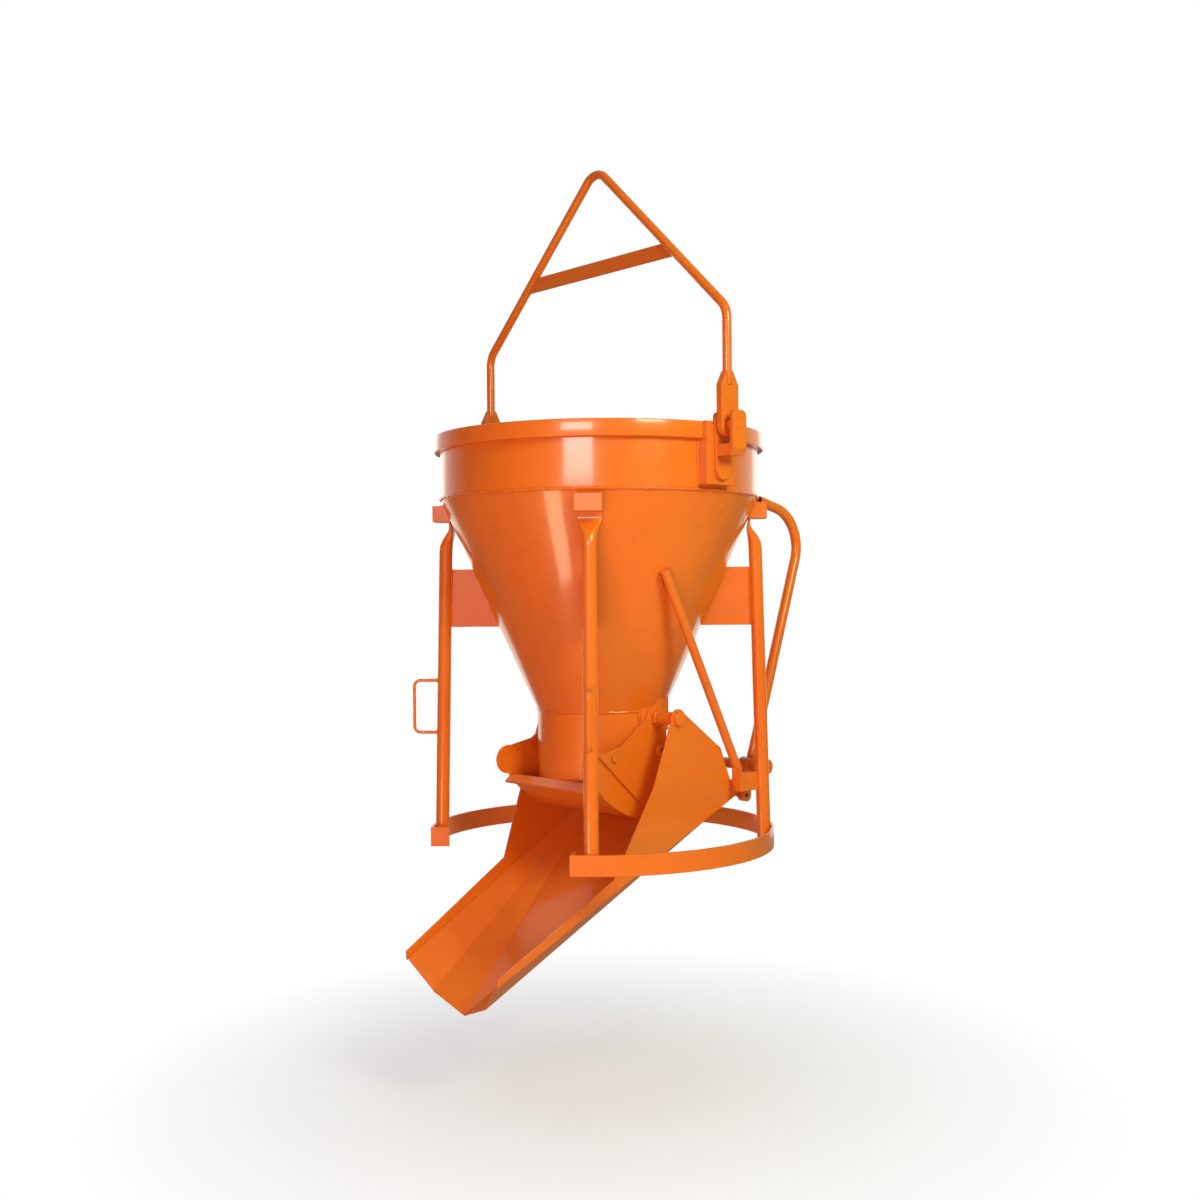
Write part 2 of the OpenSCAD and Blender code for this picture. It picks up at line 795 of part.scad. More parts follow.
// A point at distance d from the gate pivot, at an angle forward from straight down, in Y and Z
function about_pivot(d, angle) = [pivot_y - d * sin(angle), pivot_z - d * cos(angle)];

// Sector about the gate pivot between two radii, in Y and Z
module sector(r0, r1, front, rear) {
    far = 2 * r1;
    intersection() {
        translate([pivot_y, pivot_z]) difference() {
            circle(r1);
            circle(r0);
        }
        polygon([about_pivot(0, 0), about_pivot(far, front), about_pivot(far, (front - rear) / 2),
            about_pivot(far, -rear)]);
    }
}

// Curved pan that closes the neck
module gate_pan() {
    half = cheek_x - weld_gap;
    color(paint) hang() plate_yz(-half, 2 * half) sector(pan_r, pan_out_r, pan_front, pan_rear);
}

// Front lip standing out from the pan's edge
module gate_lip() {
    half = cheek_x - weld_gap;
    lip_r = pan_out_r + lip_reach;
    near = pan_front + weld_gap / pan_r * 180 / PI;
    far = near + pan_t / lip_r * 180 / PI;
    color(paint) hang() plate_yz(-half, 2 * half)
        polygon([about_pivot(pan_r, near), about_pivot(lip_r, near), about_pivot(lip_r, far),
            about_pivot(pan_r, far)]);
}

// Side plate of the pan, with a round nose in front
module gate_cheek(right) {
    nose = about_pivot(nose_at, nose_angle);
    bolt = about_pivot(gate_bolt_at, gate_bolt_angle);
    color(paint) hang() side(right) difference() {
        plate_yz(cheek_x, cheek_t) {
            sector(cheek_in_r, pan_out_r, nose_angle, pan_rear);
            translate(nose) circle(nose_r);
        }
        bar_x(0, shell_r, bolt[0], bolt[1], bolt_d / 2 + run_fit);
    }
}

module gate_cheek_right() {
    gate_cheek(true);
}

module gate_cheek_left() {
    gate_cheek(false);
}

// Arm that carries the pan from its pivot
module gate_arm(right) {
    bolt = about_pivot(gate_bolt_at, gate_bolt_angle);
    shoulder = about_pivot(170, 62);
    tip = about_pivot(262, 68);
    tip_low = about_pivot(255, 64);
    toe_r = 290;
    toe_front = 7.5;
    toe_rear = -2;
    color(paint) hang() side(right) difference() {
        plate_yz(arm_x, arm_t) {
            translate([pivot_y, pivot_z]) circle(boss_r);
            polygon([[pivot_y + boss_r, pivot_z], [pivot_y - boss_r, pivot_z], shoulder, tip, tip_low,
                about_pivot(toe_r, toe_front), about_pivot(toe_r, toe_rear),
                [pivot_y + boss_r, pivot_z - crank_l]]);
        }
        bar_x(0, shell_r, pivot_y, pivot_z, pivot_r + run_fit);
        bar_x(0, shell_r, pivot_y + crank_dy, pivot_z + crank_dz, link_pin_r + run_fit);
        bar_x(0, shell_r, bolt[0], bolt[1], bolt_d / 2 + run_fit);
    }
}

module gate_arm_right() {
    gate_arm(true);
}

module gate_arm_left() {
    gate_arm(false);
}

// Bolts that hold the cheeks to the arms
module gate_bolts() {
    bolt = about_pivot(gate_bolt_at, gate_bolt_angle);
    head_t = 8;
    x0 = cheek_x;
    x1 = arm_out_x + weld_gap;
    color(paint) hang() both_sides() {
        bar_x(x0, x1 - x0, bolt[0], bolt[1], bolt_d / 2);
        translate([x1, bolt[0], bolt[1]]) rotate([0, 90, 0])
            cylinder(h = head_t, r = bolt_d * hex_r, $fn = 6);
    }
}

// Pins on the gate arms that the links pull
module gate_link_pins() {
    x0 = arm_x;
    x1 = link_x + link_t + gate_pin_stand;
    color(steel) hang() both_sides()
        bar_x(x0, x1 - x0, pivot_y + crank_dy, pivot_z + crank_dz, link_pin_r);
}

// Bent tube lever
module lever_tube() {
    foot = [shaft_y, shaft_z];
    bend = [shaft_y + lever_lean, shaft_z + lever_h];
    tip = [shaft_y + lever_tip_back, shaft_z + lever_tip_rise];
    color(paint) hang() difference() {
        translate([lever_x, 0, 0]) rotate([90, 0, 90])
            bent_bar([foot, bend, tip], [0, lever_bend, 0], lever_d / 2, lever_d / 2 - lever_t);
        bar_x(0, shell_r, shaft_y, shaft_z, hub_r + weld_gap);
    }
}

// Sleeve that holds the lever on its shaft
module lever_hub() {
    color(paint) hang() difference() {
        bar_x(hub_x, hub_w, shaft_y, shaft_z, hub_r);
        bar_x(hub_x - over, hub_w + 2 * over, shaft_y, shaft_z, shaft_r + run_fit);
    }
}

// Shaft across the rear legs
module lever_shaft() {
    color(paint) hang() bar_x(-shaft_half, 2 * shaft_half, shaft_y, shaft_z, shaft_r);
}

// Crank on the shaft
module crank(right) {
    color(paint) hang() side(right) difference() {
        plate_yz(crank_x, crank_t) {
            translate([shaft_y, shaft_z]) circle(hub_r);
            translate([shaft_y, shaft_z]) rotate(crank_angle)
                translate([-link_r, -crank_l]) square([2 * link_r, crank_l]);
            translate([shaft_y + crank_dy, shaft_z + crank_dz]) circle(link_r);
        }
        bar_x(0, shell_r, shaft_y, shaft_z, shaft_r + run_fit);
        bar_x(0, shell_r, shaft_y + crank_dy, shaft_z + crank_dz, link_pin_r + run_fit);
    }
}

module crank_right() {
    crank(true);
}

module crank_left() {
    crank(false);
}

// Pins on the cranks that drive the links
module crank_pins() {
    x0 = link_x - crank_pin_stand;
    color(steel) hang() both_sides()
        bar_x(x0, crank_x + crank_t - x0, shaft_y + crank_dy, shaft_z + crank_dz, link_pin_r);
}

// Collars that keep the shaft in its bearings
module shaft_collars() {
    x0 = bearing_x - side_gap - collar_w;
    color(paint) hang() both_sides() difference() {
        bar_x(x0, collar_w, shaft_y, shaft_z, shaft_r + collar_t);
        bar_x(x0 - over, collar_w + 2 * over, shaft_y, shaft_z, shaft_r + run_fit);
    }
}

// Flat link between crank and gate arm
module link(right) {
    gate_end = [pivot_y + crank_dy, pivot_z + crank_dz];
    crank_end = [shaft_y + crank_dy, shaft_z + crank_dz];
    span = crank_end - gate_end;
    color(paint) hang() side(right) difference() {
        plate_yz(link_x, link_t) {
            translate(gate_end) circle(link_r);
            translate(crank_end) circle(link_r);
            translate(gate_end) rotate(atan2(span[1], span[0])) translate([0, -link_r * link_waist])
                square([norm(span), 2 * link_r * link_waist]);
        }
        bar_x(0, shell_r, gate_end[0], gate_end[1], link_pin_r + open_fit);
        bar_x(0, shell_r, crank_end[0], crank_end[1], link_pin_r + run_fit);
    }
}

module link_right() {
    link(true);
}

module link_left() {
    link(false);
}

// Folded floor of the chute: flat triangles whose folds meet at the rear corners
module chute_sheet() {
    lift = 6;
    spout_back = 48;
    fold_back = 30;
    fold_wide = 0.57;
    fold_deep = 0.67;
    rear_z = chute_rear_z + lift;
    corner_z = outlet_z + lift;
    spout_z = outlet_z - spout_deep;
    spout_y = -outlet_y + spout_back;
    fold = [fold_wide * outlet_x, -outlet_y + fold_back, corner_z - fold_deep * spout_deep];
    slope = atan((rear_z - spout_z) / (chute_rear - spout_y));
    sink = chute_t * [0, sin(slope), -cos(slope)];
    rear_x = wall_in(rear_z + sink[2]);
    corner_x = wall_in(corner_z + sink[2]);
    top = [[rear_x, chute_rear, rear_z], [corner_x, -outlet_y, corner_z], fold, [0, spout_y, spout_z],
        [-fold[0], fold[1], fold[2]], [-corner_x, -outlet_y, corner_z], [-rear_x, chute_rear, rear_z]];
    n = len(top);
    upper = [[0, 2, 1], [0, 3, 2], [0, 6, 3], [6, 4, 3], [6, 5, 4]];
    lower = [for (f = upper) [f[0] + n, f[2] + n, f[1] + n]];
    rim = [for (i = [0 : n - 1]) let (j = (i + 1) % n) each [[i, j, j + n], [i, j + n, i + n]]];
    color(paint) hang() polyhedron(concat(top, [for (p = top) p + sink]), concat(upper, lower, rim));
}

// Side wall of the chute: an upright cheek on the pivot, folded in below and drawn out along the spout
module chute_wall(right) {
    crown = 30;
    crown_front = [pivot_y - 0.9 * crown, pivot_z];
    crown_rear = [pivot_y + 0.6 * crown, pivot_z + 0.7 * crown];
    cheek_rear = [221, fold_z + 100];
    rear_fold = [262, fold_z];
    front_fold = [-67, fold_z];
    kink = [-190, fold_z - 263];
    tail_rise = wall_tail * (chute_rear_z - outlet_z) / (chute_rear + outlet_y);
    top_z = pivot_z + 2 * crown;
    low_z = outlet_z - over;
    inner_fold_z = fold_z + chute_t * tan(wall_lean / 2);
    strip = [[chute_x, top_z], [chute_in_x, top_z], [chute_in_x, inner_fold_z],
        [wall_out(low_z) - wall_run, low_z], [wall_out(low_z), low_z], [chute_x, fold_z]];
    color(paint) hang() side(right) difference() {
        union() {
            intersection() {
                translate([0, chute_rear + wall_tail + over, 0]) rotate([90, 0, 0])
                    linear_extrude(chute_rear + wall_tail + outlet_y + 2 * over) polygon(strip);
                plate_yz(0, shell_r)
                    polygon([front_fold, crown_front, crown_rear, cheek_rear, rear_fold,
                        [chute_rear + wall_tail, chute_rear_z + tail_rise], [-outlet_y, outlet_z],
                        [-outlet_y, outlet_z + curb_h], kink]);
            }
            bar_x(chute_in_x, chute_t, pivot_y, pivot_z, crown);
        }
        bar_x(0, shell_r, pivot_y, pivot_z, pivot_r + run_fit);
    }
}

module chute_wall_right() {
    chute_wall(true);
}

module chute_wall_left() {
    chute_wall(false);
}

// Bushes inside the chute's walls, on the pivot pins
module chute_bushes() {
    color(paint) hang() both_sides() difference() {
        bar_x(chute_in_x - chute_t, chute_t, pivot_y, pivot_z, pivot_r + bush_t);
        bar_x(0, shell_r, pivot_y, pivot_z, pivot_r + run_fit);
    }
}

shell();
rim_band();
cone();
neck();
leg_front_right();
leg_front_left();
leg_rear_right();
leg_rear_left();
leg_lugs();
leg_gussets();
base_ring();
grip_right();
grip_left();
bail_pads();
bail_lugs();
bail_straps();
bail_pins();
pivot_brackets();
pivot_pins();
pivot_nuts();
pivot_spacers();
strut_right();
strut_left();
stop_brackets();
strut_bolts();
shaft_bearing_right();
shaft_bearing_left();
bail_bar();
bail_cross_bar();
bail_eye_right();
bail_eye_left();
gate_pan();
gate_lip();
gate_cheek_right();
gate_cheek_left();
gate_arm_right();
gate_arm_left();
gate_bolts();
gate_link_pins();
lever_tube();
lever_hub();
lever_shaft();
crank_right();
crank_left();
crank_pins();
shaft_collars();
link_right();
link_left();
chute_sheet();
chute_wall_right();
chute_wall_left();
chute_bushes();
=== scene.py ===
"""Orange concrete bucket hanging from its bail: finishes, turned and pressed pieces, welds, light, camera.

Lengths are metres. Heights count from the ground under the base ring; put(), the camera, the lamps and the
floor lower them to the hook seat, which is the frame's origin. X runs along the bail pins and the chute
points to -Y.
"""
import math
import bpy
import numpy as np
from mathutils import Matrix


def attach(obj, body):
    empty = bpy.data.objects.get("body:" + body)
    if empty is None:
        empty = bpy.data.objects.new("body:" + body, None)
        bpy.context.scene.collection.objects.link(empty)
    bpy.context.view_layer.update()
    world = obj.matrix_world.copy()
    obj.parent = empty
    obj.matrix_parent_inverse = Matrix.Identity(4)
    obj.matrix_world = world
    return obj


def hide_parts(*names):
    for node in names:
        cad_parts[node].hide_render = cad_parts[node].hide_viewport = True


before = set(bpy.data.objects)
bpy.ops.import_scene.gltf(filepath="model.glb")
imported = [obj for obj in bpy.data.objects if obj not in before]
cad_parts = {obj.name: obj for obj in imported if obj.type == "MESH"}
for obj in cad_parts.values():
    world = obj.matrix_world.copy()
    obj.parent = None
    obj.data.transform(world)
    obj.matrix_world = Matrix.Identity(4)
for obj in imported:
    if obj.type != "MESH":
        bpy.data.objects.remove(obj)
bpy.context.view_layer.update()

# ---- sizes ----

HOOK = 2.106385
RIM, SEAM, NECK = 1.286, 1.091, 0.431
SHELL_R, NECK_R, SHEET = 0.5, 0.2, 0.005
RIM_BAR_IN, RIM_BAR_OUT, RIM_BAR_H, RIM_BAR_EDGE = 0.5002, 0.5202, 0.05, 0.0035
CONE_LEAN = math.atan((SHELL_R - NECK_R) / (SEAM - NECK))

# Front right, front left, rear right, rear left
LEGS = np.radians([-45, -135, 45, 135])
LEG_R, LEG_BORE, FOOT_R, TUBE_TOP_R, TUBE_TOP = 0.0212, 0.018, 0.512, 0.492, 0.93
FOOT_EDGE_R, FOOT_EDGE = 0.0206, 0.0008
TAB_LOW, TAB_TOP = np.array([0.466, 1.006]), np.array([0.4983, 1.077])
TAB_HALF_W, TAB_HALF_T = 0.0375, 0.004
PRESS_BENDS = (0.4905, 0.985), (0.452, 0.985)
GRIP_LOW, GRIP_TOP, GRIP_REACH, GRIP_BAR_R, GRIP_BEND = 0.355, 0.521, 0.072, 0.005, 0.02
GUSSET_LOW, GUSSET_TOP = 0.693, 0.872

PIN_Z, BAIL_X, BAIL_BAR_R = RIM - 0.011, 0.561, 0.014
BAIL_FOOT, BAIL_SHOULDER, BAIL_PEAK = PIN_Z + 0.114, 1.612, 2.143
SHOULDER_BEND, PEAK_BEND = 0.07, 0.06
CROSS_X, CROSS_Z, CROSS_HALF_T, CROSS_HALF_H = 0.3205, 1.823, 0.0052, 0.021
LUG_X, LUG_HALF_W, LUG_TOP, LUG_ROUND_Z = 0.5335, 0.0335, 1.276, 1.150
PAD_X, PAD_HALF_W, PAD_LOW, PAD_TOP = 0.4972, 0.0595, 1.106, 1.233

PIVOT_Y, PIVOT_Z = 0.038, 0.41
BRACKET_X, BRACKET_Y, BRACKET_LOW, BRACKET_TOP = 0.2012, -0.0212, 0.371, 0.428
BOLT_AWAY, BOLT_TURN, BOLT_R, BOLT_ACROSS = 0.21, math.radians(58), 0.008, 0.0238
STRUT_LOW, STRUT_FOOT_RISE = np.array([0.326, 0.278, 0.201]), 0.044
STRUT_TOP_Y, STRUT_TOP_Z, STRUT_R = -0.1, 0.858, 0.014

SHAFT_Y, SHAFT_Z, SHAFT_WELD = 0.4, 0.237, 0.0262
LEVER_X, LEVER_R, LEVER_BORE, LEVER_BEND = 0.27, 0.01685, 0.01365, 0.13
LEVER_CORNER, LEVER_TIP = (0.675, 1.037), (0.451, 1.089)

# Radius of the small flat that closes a turned end, and a bar's end chamfer
PIN_EYE, HEX_EYE, BAR_EYE, BAR_CHAMFER = 0.0005, 0.001, 0.0004, 0.001
SIDES = (1, -1)


def cone_r(z):
    """Outer radius of the cone at height z."""
    return NECK_R + (SHELL_R - NECK_R) * (z - NECK) / (SEAM - NECK)


def leg_axis(z):
    """Radius of a leg's axis at height z."""
    return FOOT_R - (FOOT_R - TUBE_TOP_R) * z / TUBE_TOP


# ---- meshes ----

def put(name, body, grids, finish, ring=False, sharp=38, replaces=()):
    """One mesh from grids of points: rows along a path, columns closed round it.

    Rows are closed too where ring is true, and otherwise end in flat caps. Each grid is turned to
    face outwards by the sign of its volume. Edges sharper than the angle stay hard.
    """
    points, faces, smooth, start = [], [], [], 0
    for grid in grids:
        rows, cols = grid.shape[:2]
        index = np.arange(rows * cols).reshape(rows, cols)
        along = np.vstack([index, index[:1]]) if ring else index
        around = np.hstack([along, along[:, :1]])
        quads = np.stack([around[:-1, :-1], around[:-1, 1:], around[1:, 1:], around[1:, :-1]], -1)
        quads = quads.reshape(-1, 4)
        caps = [] if ring else [index[0][::-1], index[-1]]
        flat = grid.reshape(-1, 3)
        near = flat - flat.mean(0)
        a, b, c, d = (near[quads[:, k]] for k in range(4))
        volume = np.einsum("ij,ij->", a, np.cross(b, c)) + np.einsum("ij,ij->", a, np.cross(c, d))
        for cap in caps:
            p = near[cap]
            volume += np.einsum("j,ij->", p[0], np.cross(p[1:-1], p[2:]))
        step = 1 if volume > 0 else -1
        faces += (quads[:, ::step] + start).tolist() + [(cap[::step] + start).tolist() for cap in caps]
        smooth += [True] * len(quads) + [False] * len(caps)
        points.append(flat)
        start += rows * cols
    mesh = bpy.data.meshes.new(name)
    mesh.from_pydata((np.vstack(points) - (0, 0, HOOK)).tolist(), [], faces)
    mesh.polygons.foreach_set("use_smooth", smooth)
    mesh.set_sharp_from_angle(angle=math.radians(sharp))
    mesh.materials.append(finish)
    piece = bpy.data.objects.new(name, mesh)
    bpy.context.scene.collection.objects.link(piece)
    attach(piece, body)
    if replaces:
        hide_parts(*replaces)


def whole_turn(count):
    """Angles of one whole turn."""
    return np.linspace(0, 2 * np.pi, count, endpoint=False)


def round_box(low, high, r, n=5):
    """Closed outline of a rectangle with corners rounded to r, in two coordinates."""
    t = np.linspace(0, np.pi / 2, n)
    corners = [(high[0] - r, high[1] - r), (low[0] + r, high[1] - r),
               (low[0] + r, low[1] + r), (high[0] - r, low[1] + r)]
    return np.vstack([corner + r * np.stack([np.cos(t + k * np.pi / 2), np.sin(t + k * np.pi / 2)], 1)
                      for k, corner in enumerate(corners)])


def turned_z(outline, angles):
    """Outline in radius and height carried round the vertical axis through the given angles."""
    r, z = outline[:, 0], outline[:, 1]
    t = angles[:, None]
    return np.stack([r * np.cos(t), r * np.sin(t), np.broadcast_to(z, (len(angles), len(z)))], -1)


def turned_x(outline, y, z, side):
    """Outline of place along X and radius, turned about a line along X at y and z."""
    t = whole_turn(48)
    x, r = np.asarray(outline, float).T[:, :, None]
    return np.stack([side * x + 0 * t, y + r * np.cos(t), z + r * np.sin(t)], -1)


def hexagon(x0, thick, across, y, z, side):
    """Hexagon head or nut along X: radius is the smaller of the hexagon and the chamfer's cone."""
    t = whole_turn(72)
    flats = across / 2 / np.cos((t + np.pi / 6) % (np.pi / 3) - np.pi / 6)
    h = np.array([0, 0, 0.12, 0.3, 0.6, 0.75, 0.86, 0.94, 1, 1])
    chamfer = across * 0.485 + (1 - h) * abs(thick) * 1.75
    r = np.minimum(flats, chamfer[:, None])
    r[0] = r[-1] = HEX_EYE
    x = np.broadcast_to((x0 + h * thick)[:, None], r.shape)
    return np.stack([side * x, y + r * np.cos(t), z + r * np.sin(t)], -1)


def bead(line, radius, ring=False, pitch=0.010, seed=1.0):
    """Weld bead: circles carried along a line, thinned at loose ends.

    Their radius is radius * (1 + fine ripple + two slow lumps), sine waves along the line whose
    phases come from seed.
    """
    line = np.asarray(line, float)
    if ring:
        line = np.vstack([line, line[:1]])
    dist = np.concatenate([[0], np.cumsum(np.linalg.norm(np.diff(line, axis=0), axis=1))])
    s = np.linspace(0, dist[-1], max(8, int(dist[-1] / pitch * 3)) + 1)
    path = np.stack([np.interp(s, dist, line[:, k]) for k in range(3)], 1)
    if ring:
        path, s = path[:-1], s[:-1]
        tangent = np.roll(path, -1, 0) - np.roll(path, 1, 0)
    else:
        tangent = np.gradient(path, axis=0)
    tangent /= np.linalg.norm(tangent, axis=1)[:, None]
    steady = np.linalg.svd(tangent, full_matrices=True)[2][-1]
    across = np.cross(tangent, steady)
    across /= np.linalg.norm(across, axis=1)[:, None]
    out = np.cross(tangent, across)
    r = 1 + sum(size * np.sin(2 * np.pi * s / length + shift * seed)
                for size, length, shift in [(0.11, pitch, 1), (0.09, 0.047, 2.3), (0.12, 0.139, 3.1)])
    r = radius * r
    if not ring:
        r = r * np.sqrt(np.clip(np.minimum(s, s[-1] - s) / (1.5 * radius), 0.06, 1))
    t = whole_turn(8)[:, None]
    return path[:, None] + r[:, None, None] * (np.cos(t) * across[:, None] + np.sin(t) * out[:, None])


def circle(centre, radius, u, v, count):
    """Points of a circle in the plane of u and v."""
    t = whole_turn(count)[:, None]
    return np.asarray(centre) + radius * (np.cos(t) * np.asarray(u) + np.sin(t) * np.asarray(v))


def spin(points, angle):
    """Points turned about the vertical axis."""
    c, s = math.cos(angle), math.sin(angle)
    return np.asarray(points, float) @ np.array([[c, s, 0], [-s, c, 0], [0, 0, 1]])


def on_side(points, side):
    """Points on the right side of the bucket, or their mirror image on the left."""
    return np.asarray(points, float) * (side, 1, 1)


# ---- finishes ----

def wire(tree, kind, **inputs):
    """A node with its settings, and its inputs set to values or joined to other nodes' sockets.

    Inputs go by name, with _ for a space, or by number, as in I0.
    """
    node = tree.nodes.new(kind)
    for key, value in inputs.items():
        if hasattr(node, key) and not key[0].isupper():
            setattr(node, key, value)
            continue
        numbered = key[0] == "I" and key[1:].isdigit()
        socket = node.inputs[int(key[1:]) if numbered else key.replace("_", " ")]
        if isinstance(value, bpy.types.NodeSocket):
            tree.links.new(value, socket)
        else:
            socket.default_value = value
    return node


def noise(tree, at, scale, **settings):
    """Cloud noise at a place."""
    return wire(tree, "ShaderNodeTexNoise", Vector=at, Scale=scale, **settings).outputs["Fac"]


def ramp(tree, value, **ends):
    """Value carried from one range to another and held at its ends."""
    return wire(tree, "ShaderNodeMapRange", Value=value, **ends).outputs[0]


def times(tree, a, b):
    """Product of two values."""
    return wire(tree, "ShaderNodeMath", operation="MULTIPLY", I0=a, I1=b).outputs[0]


def times_plus(tree, a, b, c):
    """Product of two values plus a third."""
    return wire(tree, "ShaderNodeMath", operation="MULTIPLY_ADD", I0=a, I1=b, I2=c).outputs[0]


def blend(tree, factor, first, second):
    """Colour between two others."""
    return wire(tree, "ShaderNodeMix", data_type="RGBA", Factor=factor, I6=first, I7=second).outputs[2]


ORANGE = (0.790, 0.196, 0.011, 1)
ORANGE_DEEP = (0.710, 0.140, 0.008, 1)
WELD_DEEP = (0.70, 0.115, 0.007, 1)
RUBBED = (0.72, 0.34, 0.16, 1)
DUST = (0.62, 0.46, 0.33, 1)
GREASE, STEEL_GREY = (0.16, 0.14, 0.12, 1), (0.46, 0.44, 0.41, 1)


def paint_film():
    """Shared paint effect: tone, roughness and height of brushed-on enamel, with rubbed edges and dust.

    Tone is slow cloud noise plus fine mottle; rubbing follows edges, found where a rounded normal
    leaves the surface's own; dust lies on faces that look up.
    """
    group = bpy.data.node_groups.new("paint_film", "ShaderNodeTree")
    for way, kind, names in [("INPUT", "NodeSocketColor", ("Paint", "Deep", "Rubbed")),
                             ("INPUT", "NodeSocketFloat", ("Wear", "Dust", "Gloss")),
                             ("OUTPUT", "NodeSocketColor", ("Color",)),
                             ("OUTPUT", "NodeSocketFloat", ("Roughness", "Height")),
                             ("OUTPUT", "NodeSocketVector", ("Normal",))]:
        for name in names:
            group.interface.new_socket(name=name, in_out=way, socket_type=kind)
    given = group.nodes.new("NodeGroupInput").outputs
    result = group.nodes.new("NodeGroupOutput").inputs
    place = group.nodes.new("ShaderNodeTexCoord").outputs
    at = place["Object"]
    cloud = noise(group, at, 2.2, Detail=2.0, Roughness=0.4)
    mottle = noise(group, at, 24.0, Detail=3.0, Roughness=0.5)
    peel = noise(group, at, 520.0, Detail=2.0)
    sheet = noise(group, at, 9.0, Detail=1.0)
    chips = noise(group, at, 120.0, Detail=6.0, Roughness=0.7)

    tone = times_plus(group, mottle, 0.16, times_plus(group, cloud, 0.7, -0.12))
    film = blend(group, ramp(group, tone, From_Min=0.10, From_Max=0.50), given["Deep"], given["Paint"])

    soft = wire(group, "ShaderNodeBevel", samples=6, Radius=0.0035).outputs[0]
    own = group.nodes.new("ShaderNodeNewGeometry").outputs["Normal"]
    turn = wire(group, "ShaderNodeVectorMath", operation="DOT_PRODUCT", I0=soft, I1=own).outputs["Value"]
    edge = ramp(group, turn, From_Min=0.985, From_Max=0.80)
    broken = ramp(group, chips, From_Min=0.42, From_Max=0.66)
    rub = times(group, times(group, edge, broken), given["Wear"])
    worn = blend(group, rub, film, given["Rubbed"])

    up = wire(group, "ShaderNodeSeparateXYZ", Vector=place["Normal"]).outputs["Z"]
    lie = times(group, ramp(group, up, From_Min=0.35, From_Max=0.95), mottle)
    dust = times(group, lie, given["Dust"])

    rough = times_plus(group, rub, 0.3, times_plus(group, mottle, 0.10, given["Gloss"]))
    for name, value in [("Color", blend(group, dust, worn, DUST)),
                        ("Roughness", times_plus(group, dust, 0.5, rough)),
                        ("Height", times_plus(group, sheet, 2.0, times(group, peel, 0.008))),
                        ("Normal", soft)]:
        group.links.new(value, result[name])
    return group


FILM = paint_film()


def new_material(name):
    """An empty material with its node tree and its shader."""
    material = bpy.data.materials.new(name)
    material.use_nodes = True
    return material, material.node_tree, material.node_tree.nodes["Principled BSDF"]


def painted(name, deep=ORANGE_DEEP, wear=0.2, dust=0.03, gloss=0.24, rise=0.0006, soft=True):
    """Enamel on steel: the shared film over one gloss coat, with edges softened where soft is set."""
    material, tree, shader = new_material(name)
    film = tree.nodes.new("ShaderNodeGroup")
    film.node_tree = FILM
    for key, value in [("Paint", ORANGE), ("Deep", deep), ("Rubbed", RUBBED), ("Wear", wear), ("Dust", dust),
                       ("Gloss", gloss)]:
        film.inputs[key].default_value = value
    bump = wire(tree, "ShaderNodeBump", Strength=0.35, Distance=rise, Height=film.outputs["Height"])
    if soft:
        tree.links.new(film.outputs["Normal"], bump.inputs["Normal"])
    tree.links.new(film.outputs["Color"], shader.inputs["Base Color"])
    tree.links.new(film.outputs["Roughness"], shader.inputs["Roughness"])
    tree.links.new(bump.outputs[0], shader.inputs["Normal"])
    shader.inputs["Specular IOR Level"].default_value = 0.3
    shader.inputs["Coat Weight"].default_value = 0.5
    shader.inputs["Coat Roughness"].default_value = 0.1
    return material


def bare_steel():
    """Greased bare pin: grey steel with dark smears and fine turning marks."""
    material, tree, shader = new_material("pin_steel")
    at = tree.nodes.new("ShaderNodeTexCoord").outputs["Object"]
    smear = noise(tree, at, 60.0, Detail=5.0)
    marks = wire(tree, "ShaderNodeTexWave", Vector=at, Scale=420.0, Distortion=1.5, bands_direction="X")
    bump = wire(tree, "ShaderNodeBump", Strength=0.2, Distance=0.0004, Height=marks.outputs["Fac"])
    tree.links.new(blend(tree, smear, GREASE, STEEL_GREY), shader.inputs["Base Color"])
    tree.links.new(ramp(tree, smear, To_Min=0.28, To_Max=0.58), shader.inputs["Roughness"])
    tree.links.new(bump.outputs[0], shader.inputs["Normal"])
    shader.inputs["Metallic"].default_value = 1.0
    return material


paint = painted("orange_enamel", soft=False)
tube_paint = painted("orange_tube", wear=0.04, soft=False)
plate_paint = painted("orange_plate", wear=0.3, dust=0.05, gloss=0.3)
weld_paint = painted("orange_weld", WELD_DEEP, wear=0.1, dust=0.02, gloss=0.22, rise=0.0012)
steel = bare_steel()
OTHER_FINISHES = {"neck": paint, "gate_link_pins": steel, "crank_pins": steel}
for node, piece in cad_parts.items():
    piece.data.materials.clear()
    piece.data.materials.append(OTHER_FINISHES.get(node, plate_paint))

# ---- hopper sheets ----

ROUND = whole_turn(288)


def rolled(outline, swell):
    """Outline turned about the vertical axis, pushed in and out by slow waves that die away at its ends."""
    grid = turned_z(outline, ROUND)
    z = outline[:, 1]
    fade = np.sin(np.pi * np.clip((z - z.min()) / np.ptp(z), 0, 1)) ** 2
    t = ROUND[:, None]
    wave = (np.sin(5 * t + 0.7) * np.sin(9 * z + 1) + 0.7 * np.sin(8 * t + 2.1) * np.cos(14 * z)
            + 0.5 * np.sin(13 * t))
    grid[..., :2] *= (1 + swell * fade * wave)[..., None]
    return grid


def wall(r0, z0, r1, z1, thick, n):
    """Outline of a straight wall from its lower to its upper outer edge, thickened inwards."""
    t = np.linspace(0, 1, n)
    outer = np.stack([r0 + (r1 - r0) * t, z0 + (z1 - z0) * t], 1)
    return np.vstack([outer, outer[::-1] - (thick, 0)])


